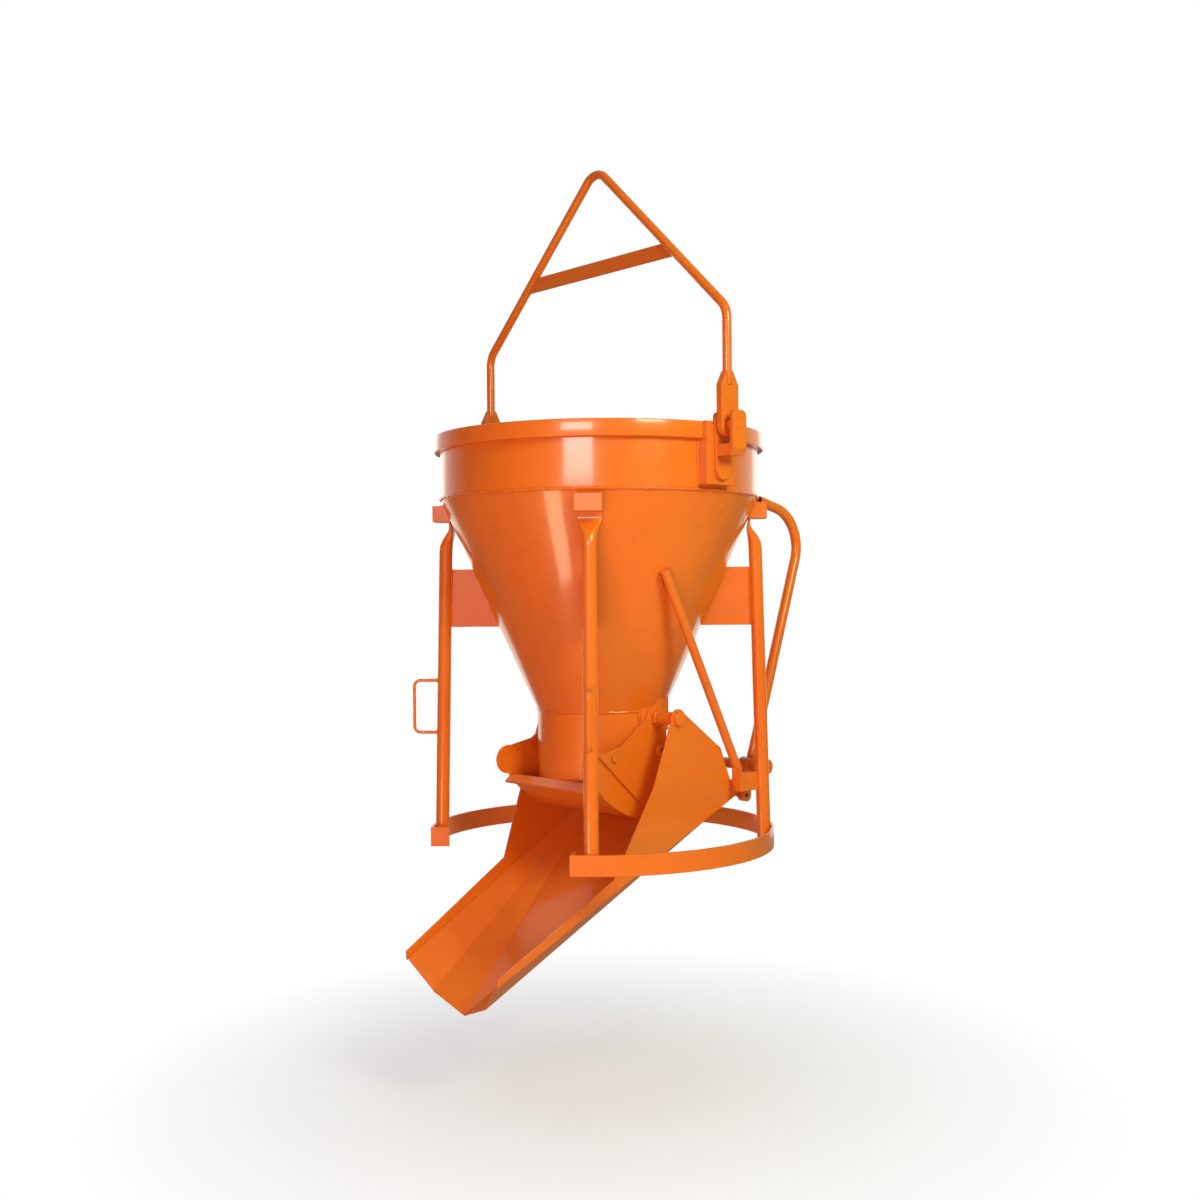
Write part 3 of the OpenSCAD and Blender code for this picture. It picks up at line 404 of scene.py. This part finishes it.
shell_wall = wall(SHELL_R, SEAM, SHELL_R, RIM, SHEET, 24)
cone_wall = wall(NECK_R, NECK, SHELL_R, SEAM, SHEET / math.cos(CONE_LEAN), 48)
rim_bar = round_box((RIM_BAR_IN, RIM - RIM_BAR_H), (RIM_BAR_OUT, RIM), RIM_BAR_EDGE)
put("shell_sheet", "hopper", [rolled(shell_wall, 0.0006)], paint, ring=True, replaces=["shell"])
put("cone_sheet", "hopper", [rolled(cone_wall, 0.0012)], paint, ring=True, replaces=["cone"])
put("rim_bar", "hopper", [turned_z(rim_bar, ROUND)], paint, ring=True, replaces=["rim_band"])

# ---- legs ----

def pressed_leg(azimuth):
    """Tube leg whose top is pressed flat against the cone.

    Closed outlines carried up a path in radius and height: the tube's straight axis, a Bezier curve, and the
    straight tab. Each is a superellipse, |across / a| ** p + |through / b| ** p = 1, that goes from a circle
    to a flat bar with p from 2 to 9. The first two outlines are the bore of the open foot.
    """
    foot = np.array([0.03, 0, 0, FOOT_EDGE, FOOT_EDGE])
    foot_radii = [LEG_BORE, LEG_BORE, FOOT_EDGE_R, FOOT_EDGE_R, LEG_R]
    straight = np.concatenate([foot, np.linspace(0.002, TUBE_TOP, 30)])
    s = np.linspace(0, 1, 34)[1:, None]
    tab_start = TAB_TOP * 0.55 + TAB_LOW * 0.45
    press = ((1 - s) ** 3 * (TUBE_TOP_R, TUBE_TOP) + 3 * s * (1 - s) ** 2 * PRESS_BENDS[0]
             + 3 * s ** 2 * (1 - s) * PRESS_BENDS[1] + s ** 3 * tab_start)
    path = np.vstack([np.stack([leg_axis(straight), straight], 1), press, [TAB_TOP]])
    flat = np.concatenate([0 * straight, np.clip(s[:, 0] * 1.12, 0, 1), [1]])
    flat = flat ** 2 * (3 - 2 * flat)
    a = LEG_R + (TAB_HALF_W - LEG_R) * flat
    b = LEG_R + (TAB_HALF_T - LEG_R) * np.clip(flat * 1.05, 0, 1)
    a[:len(foot)] = b[:len(foot)] = foot_radii
    power = (2 / (2 + 7 * flat ** 2))[:, None]
    t = whole_turn(64)
    across = a[:, None] * np.sign(np.cos(t)) * np.abs(np.cos(t)) ** power
    through = b[:, None] * np.sign(np.sin(t)) * np.abs(np.sin(t)) ** power
    way = np.gradient(path, axis=0)
    way[:len(foot)] = (leg_axis(1) - leg_axis(0), 1)
    way /= np.linalg.norm(way, axis=1)[:, None]
    r = path[:, :1] + through * way[:, 1:]
    z = path[:, 1:] - through * way[:, :1]
    return spin(np.stack([r, across, z], -1), azimuth)


put("leg_tubes", "hopper", [pressed_leg(a) for a in LEGS], tube_paint, sharp=50,
    replaces=["leg_front_right", "leg_front_left", "leg_rear_right", "leg_rear_left"])

# ---- bent bars and tubes ----

def bent(points, radii, step=0.006):
    """Line through corner points in one plane, each corner turned off by an arc of its radius."""
    points = np.asarray(points, float)
    line = [points[0]]
    for before, corner, after, r in zip(points, points[1:], points[2:], radii):
        u = (before - corner) / np.linalg.norm(before - corner)
        v = (after - corner) / np.linalg.norm(after - corner)
        half = math.acos(np.clip(u @ v, -1, 1)) / 2
        middle = (u + v) / np.linalg.norm(u + v)
        apart = (v - u) / np.linalg.norm(v - u)
        centre = corner + middle * r / math.sin(half)
        count = max(8, int(r * (np.pi - 2 * half) / step))
        sweep = np.linspace(half - np.pi / 2, np.pi / 2 - half, count)[:, None]
        line += list(centre + r * (-np.cos(sweep) * middle + np.sin(sweep) * apart))
    return np.array(line + [points[-1]])


def tube(line, r, bore=0.0, n=32):
    """Circle of radius r carried along a line in one plane, its last end open where a bore is given.

    Each circle stands square to the line, on the plane's normal and on the normal's product with the line's
    direction; straight runs get extra circles so that faces stay short.
    """
    longest, bore_depth = 0.03, 0.05
    way = np.gradient(line, axis=0)
    way /= np.linalg.norm(way, axis=1)[:, None]
    normal = np.linalg.svd(way)[2][-1]
    begin, first, end, last = line[0], way[0], line[-1], way[-1]
    rows = [(begin, first, BAR_EYE), (begin, first, r - BAR_CHAMFER), (begin + first * BAR_CHAMFER, first, r)]
    for p, q, d in zip(line[:-1], line[1:], way):
        count = max(1, int(np.linalg.norm(q - p) / longest))
        rows += [(p + (q - p) * k / count, d, r) for k in range(1, count + 1)]
    rows[-1] = (end - last * BAR_CHAMFER, last, r)
    rows.append((end, last, r - BAR_CHAMFER))
    rows += [(end, last, bore), (end - last * bore_depth, last, bore)] if bore else [(end, last, BAR_EYE)]
    spots, ways, sizes = (np.array(part) for part in zip(*rows))
    apart = np.cross(ways, normal)
    apart /= np.linalg.norm(apart, axis=1)[:, None]
    t = whole_turn(n)[None, :, None]
    return spots[:, None] + sizes[:, None, None] * (np.cos(t) * normal + np.sin(t) * apart[:, None])


bail_line = bent([(BAIL_X, 0, BAIL_FOOT), (BAIL_X, 0, BAIL_SHOULDER), (0, 0, BAIL_PEAK),
                  (-BAIL_X, 0, BAIL_SHOULDER), (-BAIL_X, 0, BAIL_FOOT)],
                 [SHOULDER_BEND, PEAK_BEND, SHOULDER_BEND])
put("bail_bar_bent", "bail", [tube(bail_line, BAIL_BAR_R)], tube_paint, sharp=50, replaces=["bail_bar"])

shaft, corner, tip = np.array([(LEVER_X, *spot) for spot in [(SHAFT_Y, SHAFT_Z), LEVER_CORNER, LEVER_TIP]])
foot = shaft + (corner - shaft) * SHAFT_WELD / np.linalg.norm(corner - shaft)
lever_line = bent([foot, corner, tip], [LEVER_BEND])
put("lever_tube_bent", "lever", [tube(lever_line, LEVER_R, LEVER_BORE)], tube_paint, sharp=50,
    replaces=["lever_tube"])

grip_sink = 0.0006
reach = leg_axis(GRIP_LOW) + LEG_R + GRIP_REACH
grip_line = bent([(leg_axis(GRIP_TOP) + LEG_R - grip_sink, 0, GRIP_TOP), (reach, 0, GRIP_TOP),
                  (reach, 0, GRIP_LOW), (leg_axis(GRIP_LOW) + LEG_R - grip_sink, 0, GRIP_LOW)],
                 [GRIP_BEND, GRIP_BEND], 0.003)
put("grip_bars", "hopper", [tube(spin(grip_line, a), GRIP_BAR_R, n=16) for a in LEGS[:2]], tube_paint,
    sharp=50, replaces=["grip_right", "grip_left"])

# ---- pins, bolts and nuts ----

def shank(x0, x1, r, chamfer=0.0012):
    """Outline of a plain round shank along X with small chamfers."""
    return [(x0, PIN_EYE), (x0, r - chamfer), (x0 + chamfer, r), (x1 - chamfer, r), (x1, r - chamfer),
            (x1, PIN_EYE)]


def headed(x0, x1, r, head_r, head_t, edge=0.0025, burr=0.0006):
    """Outline of a pin along X with a round head whose rim is turned over a small radius."""
    t = np.linspace(0, np.pi / 2, 5)
    rim = np.stack([x1 + head_t - edge + edge * np.sin(t), head_r - edge + edge * np.cos(t)], 1)
    return np.vstack([[(x0, PIN_EYE), (x0, r), (x1, r), (x1, head_r - burr), (x1 + burr, head_r)], rim,
                      [(x1 + head_t, PIN_EYE)]])


PIVOT = (PIVOT_Y, PIVOT_Z)
GATE_BOLT = (PIVOT_Y - BOLT_AWAY * math.sin(BOLT_TURN), PIVOT_Z - BOLT_AWAY * math.cos(BOLT_TURN))
STRUT_BOLT = tuple(STRUT_LOW[1:])
pivot_pin = headed(x0=0.2002, x1=0.3105, r=0.015, head_r=0.021, head_t=0.01)
bail_pin = shank(x0=0.5328, x1=0.6094, r=0.015)
gate_shank = shank(x0=0.2028, x1=0.2162, r=BOLT_R)
strut_shank = shank(x0=0.3208, x1=0.3585, r=BOLT_R)
pivot_nut = dict(x0=0.2165, thick=0.014, across=0.046)
gate_head = dict(x0=0.2162, thick=0.008, across=BOLT_ACROSS)
strut_head = dict(x0=0.3208, thick=-0.009, across=BOLT_ACROSS)


def bolts(head, outline, spot):
    """Hexagon head and shank at the same place on both sides."""
    return [grid for side in SIDES
            for grid in (hexagon(**head, y=spot[0], z=spot[1], side=side), turned_x(outline, *spot, side))]


put("pivot_pin_turned", "hopper", [turned_x(pivot_pin, *PIVOT, side) for side in SIDES], paint, sharp=30,
    replaces=["pivot_pins"])
put("pivot_nut_hex", "hopper", [hexagon(**pivot_nut, y=PIVOT_Y, z=PIVOT_Z, side=side) for side in SIDES],
    plate_paint, sharp=25, replaces=["pivot_nuts"])
put("bail_pin_turned", "hopper", [turned_x(bail_pin, 0, PIN_Z, side) for side in SIDES], paint, sharp=30,
    replaces=["bail_pins"])
put("gate_bolt_hex", "gate", bolts(gate_head, gate_shank, GATE_BOLT), plate_paint, sharp=25,
    replaces=["gate_bolts"])
put("strut_bolt_hex", "hopper", bolts(strut_head, strut_shank, STRUT_BOLT), plate_paint, sharp=25,
    replaces=["strut_bolts"])

# ---- weld beads ----

def on_cone(r_off, y, z):
    """Points on the cone at heights z, y to the side of the X axis, r_off out from it."""
    y, z = np.broadcast_arrays(np.asarray(y, float), np.asarray(z, float))
    return np.stack([np.sqrt((cone_r(z) + r_off) ** 2 - y ** 2), y, z], -1)


def upright(x, y, z0, z1):
    """Straight upright line."""
    return np.array([(x, y, z0), (x, y, z1)])


def strut_toe(edge):
    """Line along one edge of the right strut's upper end, laid down on the cone."""
    r = cone_r(STRUT_TOP_Z) + STRUT_R / math.cos(CONE_LEAN) + 0.0002
    top = np.array([math.sqrt(r * r - STRUT_TOP_Y ** 2), STRUT_TOP_Y, STRUT_TOP_Z])
    way = top - (STRUT_LOW + (0, 0, STRUT_FOOT_RISE))
    way /= np.linalg.norm(way)
    out = np.array([top[0] / r, top[1] / r, -math.tan(CONE_LEAN)])
    apart = np.cross(way, out / np.linalg.norm(out))
    line = top - way * np.linspace(-0.004, 0.055, 12)[:, None] + edge * 0.011 * apart
    line[:, :2] *= (cone_r(line[:, 2]) + 0.0015)[:, None] / np.linalg.norm(line[:, :2], axis=1)[:, None]
    return line


def ring_beads():
    """Closed beads: the shell weld outside and inside, the neck weld, and the ends of the grips."""
    level = (1, 0, 0), (0, 1, 0)
    beads = [bead(circle((0, 0, SEAM), SHELL_R, *level, 360), 0.0048, True, seed=0.4),
             bead(circle((0, 0, SEAM), SHELL_R - SHEET, *level, 360), 0.004, True, seed=1.9),
             bead(circle((0, 0, NECK), NECK_R, *level, 240), 0.0042, True, seed=2.7)]
    for a in LEGS[:2]:
        for z in (GRIP_LOW, GRIP_TOP):
            spot = spin([leg_axis(z) + LEG_R + 0.0004, 0, z], a)
            line = circle(spot, 0.0058, spin([0, 1, 0], a), (0, 0, 1), 40)
            beads.append(bead(line, 0.0022, True, pitch=0.006, seed=z * 9 + a))
    return beads


def leg_beads():
    """Beads at each leg: its gusset on cone and tube, its foot on the ring, its lug on the cone."""
    beads, z = [], np.linspace(GUSSET_LOW, GUSSET_TOP, 20)
    lug_y = np.linspace(-0.04, 0.04, 12)
    for k, a in enumerate(LEGS):
        for s in (-1, 1):
            on_leg = np.stack([leg_axis(z) - LEG_R + 0.001, 0 * z + s * 0.0055, z], -1)
            beads.append(bead(spin(on_cone(0.001, s * 0.0052, z), a), 0.0034, seed=k + s))
            beads.append(bead(spin(on_leg, a), 0.0034, seed=k - 3 * s))
            beads.append(bead(spin(upright(0.5315, s * 0.0105, 0.004, 0.056), a), 0.0038, seed=k + 5 * s))
        beads.append(bead(spin(on_cone(0.0015, lug_y, SEAM - 0.0158), a), 0.0032, seed=k + 0.3))
    return beads


def side_beads(side):
    """Beads on one side: the pad and lug of the bail, the pivot bracket and the strut's upper end."""
    arc = np.linspace(np.pi, 2 * np.pi, 20)
    round_end = np.stack([0 * arc + LUG_X, LUG_HALF_W * np.cos(arc),
                          LUG_ROUND_Z + LUG_HALF_W * np.sin(arc)], 1)
    lug_edge = np.vstack([[(LUG_X, -LUG_HALF_W, LUG_TOP)], round_end, [(LUG_X, LUG_HALF_W, LUG_TOP)]])
    bracket_edge = upright(BRACKET_X, BRACKET_Y, BRACKET_LOW, BRACKET_TOP)
    beads = [bead(on_side(upright(PAD_X, s * PAD_HALF_W, PAD_LOW, PAD_TOP), side), 0.0036, seed=s + 0.2)
             for s in (-1, 1)]
    beads.append(bead(on_side(lug_edge, side), 0.0026, seed=0.9))
    beads.append(bead(on_side(bracket_edge, side), 0.003, seed=4.1))
    return beads + [bead(on_side(strut_toe(s), side), 0.0036, pitch=0.008, seed=s * 2.2) for s in (-1, 1)]


def cross_bar_beads():
    """Beads along both faces of the cross bar's ends, on the bail's slanted runs."""
    beads, lean = [], np.array([-BAIL_X, 0, BAIL_PEAK - BAIL_SHOULDER])
    lean /= np.linalg.norm(lean)
    for s in (-1, 1):
        along = lean * np.linspace(-CROSS_HALF_H, CROSS_HALF_H, 6)[:, None]
        line = np.array([CROSS_X, s * CROSS_HALF_T, CROSS_Z]) + along
        beads += [bead(line, 0.003, seed=s), bead(on_side(line, -1), 0.003, seed=s + 2.0)]
    return beads


put("hopper_seams", "hopper", ring_beads(), weld_paint, ring=True)
put("hopper_welds", "hopper", leg_beads() + side_beads(1) + side_beads(-1), weld_paint)
put("bail_welds", "bail", cross_bar_beads(), weld_paint)

# ---- camera and lamps ----

scene = bpy.context.scene
scene.view_settings.view_transform = "Standard"
YAW, CAMERA_AWAY, CAMERA_Z = math.radians(48.434), 4.4931, 0.7831
CAMERA_DIP, CAMERA_ROLL = math.radians(0.13), math.radians(0.535)
camera = bpy.data.objects.new("view", bpy.data.cameras.new("view"))
camera.data.sensor_width = 36
camera.data.lens = 42.456
camera.location = (CAMERA_AWAY * math.sin(YAW), -CAMERA_AWAY * math.cos(YAW), CAMERA_Z - HOOK)
camera.rotation_euler = (math.pi / 2 - CAMERA_DIP, CAMERA_ROLL, YAW)
scene.collection.objects.link(camera)
scene.camera = camera


def softbox(name, turn, away, height, size, power, tint=(1, 1, 1), aim=1.0):
    """Area lamp, turned by degrees to the left of the camera, aimed at a height on the bucket's axis."""
    lamp = bpy.data.lights.new(name, "AREA")
    lamp.shape = "RECTANGLE"
    lamp.size, lamp.size_y = size
    lamp.energy = power
    lamp.color = tint
    piece = bpy.data.objects.new(name, lamp)
    angle = YAW - math.radians(turn)
    spot = np.array([away * math.sin(angle), -away * math.cos(angle), height])
    way = np.array([0, 0, aim]) - spot
    rise = math.atan2(way[2], math.hypot(way[0], way[1]))
    piece.location = spot - (0, 0, HOOK)
    piece.rotation_euler = (math.pi / 2 + rise, 0, math.atan2(-way[0], way[1]))
    scene.collection.objects.link(piece)
    return piece


# The front box and the low card only make highlights; the fill only lights the shade
front_box = softbox("front_box", 13.5, 4.6, 1.88, (1.6, 0.80), 66, aim=1.88)
front_box.visible_diffuse = False
softbox("key_box", -34, 4.2, 3.0, (1.5, 1.5), 150, (0.90, 1.0, 0.66))
fill_box = softbox("fill_box", 16, 4.2, 0.4, (2.0, 1.4), 82, (1.0, 0.44, 0.4), aim=0.7)
fill_box.visible_glossy = False
for name, turn in (("edge_left", 152), ("edge_right", -152)):
    edge_box = softbox(name, turn, 4.2, 0.95, (1.9, 3.2), 26, (1.0, 0.90, 0.74))
    edge_box.visible_camera = False
low_card = softbox("low_card", 33, 1.6, -0.15, (0.34, 0.42), 4.2, (1.0, 0.96, 0.62), aim=0.95)
low_card.visible_camera = low_card.visible_diffuse = False

# ---- walls and floor ----

WALL_LIGHT, BACKDROP = 0.26, 1.0


def studio_walls():
    """White walls to the eye, even light to paint, and bright reflections only from behind the bucket."""
    world = bpy.data.worlds.new("studio")
    world.use_nodes = True
    sky = world.node_tree
    rays = sky.nodes.new("ShaderNodeLightPath").outputs
    way = sky.nodes.new("ShaderNodeTexCoord").outputs["Generated"]
    behind = (-math.sin(YAW), math.cos(YAW), 0)
    side = wire(sky, "ShaderNodeVectorMath", operation="DOT_PRODUCT", I0=way, I1=behind).outputs["Value"]
    glow = ramp(sky, side, From_Min=0.3, From_Max=0.75, To_Min=0.06)
    shine = wire(sky, "ShaderNodeMix", I0=rays["Is Glossy Ray"], I2=WALL_LIGHT, I3=glow).outputs[0]
    level = wire(sky, "ShaderNodeMix", I0=rays["Is Camera Ray"], I2=shine, I3=BACKDROP).outputs[0]
    back = sky.nodes["Background"]
    back.inputs["Color"].default_value = (1, 1, 1, 1)
    sky.links.new(level, back.inputs["Strength"])
    return world


def pale_floor():
    """Pale floor that keeps the shadow, fades to white away from the bucket and is dim in reflections."""
    material, tree, ground = new_material("pale_floor")
    ground.inputs["Base Color"].default_value = (0.82, 0.85, 0.93, 1)
    ground.inputs["Roughness"].default_value = 0.9
    where = tree.nodes.new("ShaderNodeTexCoord").outputs["Object"]
    level = wire(tree, "ShaderNodeVectorMath", operation="MULTIPLY", I0=where, I1=(1, 1, 0))
    far = wire(tree, "ShaderNodeVectorMath", operation="LENGTH", I0=level.outputs["Vector"])
    haze = ramp(tree, far.outputs["Value"], From_Min=0.3, From_Max=1.6, To_Min=0.4)
    rays = tree.nodes.new("ShaderNodeLightPath").outputs
    white = wire(tree, "ShaderNodeEmission", Color=(1, 1, 1, 1), Strength=1.0)
    dim = wire(tree, "ShaderNodeBsdfDiffuse", Color=(0.3, 0.3, 0.3, 1))
    held = wire(tree, "ShaderNodeMixShader", I0=rays["Is Glossy Ray"], I1=ground.outputs[0],
                I2=dim.outputs[0])
    mixed = wire(tree, "ShaderNodeMixShader", I0=times(tree, haze, rays["Is Camera Ray"]), I1=held.outputs[0],
                 I2=white.outputs[0])
    tree.links.new(mixed.outputs[0], tree.nodes["Material Output"].inputs["Surface"])
    return material


scene.world = studio_walls()
CHUTE_LOW, FLOOR_GAP, FLOOR_HALF = -0.434, 0.30, 30
floor_z = CHUTE_LOW - FLOOR_GAP - HOOK
floor_mesh = bpy.data.meshes.new("floor")
floor_mesh.from_pydata([(x * FLOOR_HALF, y * FLOOR_HALF, floor_z)
                        for x, y in [(-1, -1), (1, -1), (1, 1), (-1, 1)]], [], [(0, 1, 2, 3)])
floor_mesh.materials.append(pale_floor())
floor = bpy.data.objects.new("floor", floor_mesh)
scene.collection.objects.link(floor)
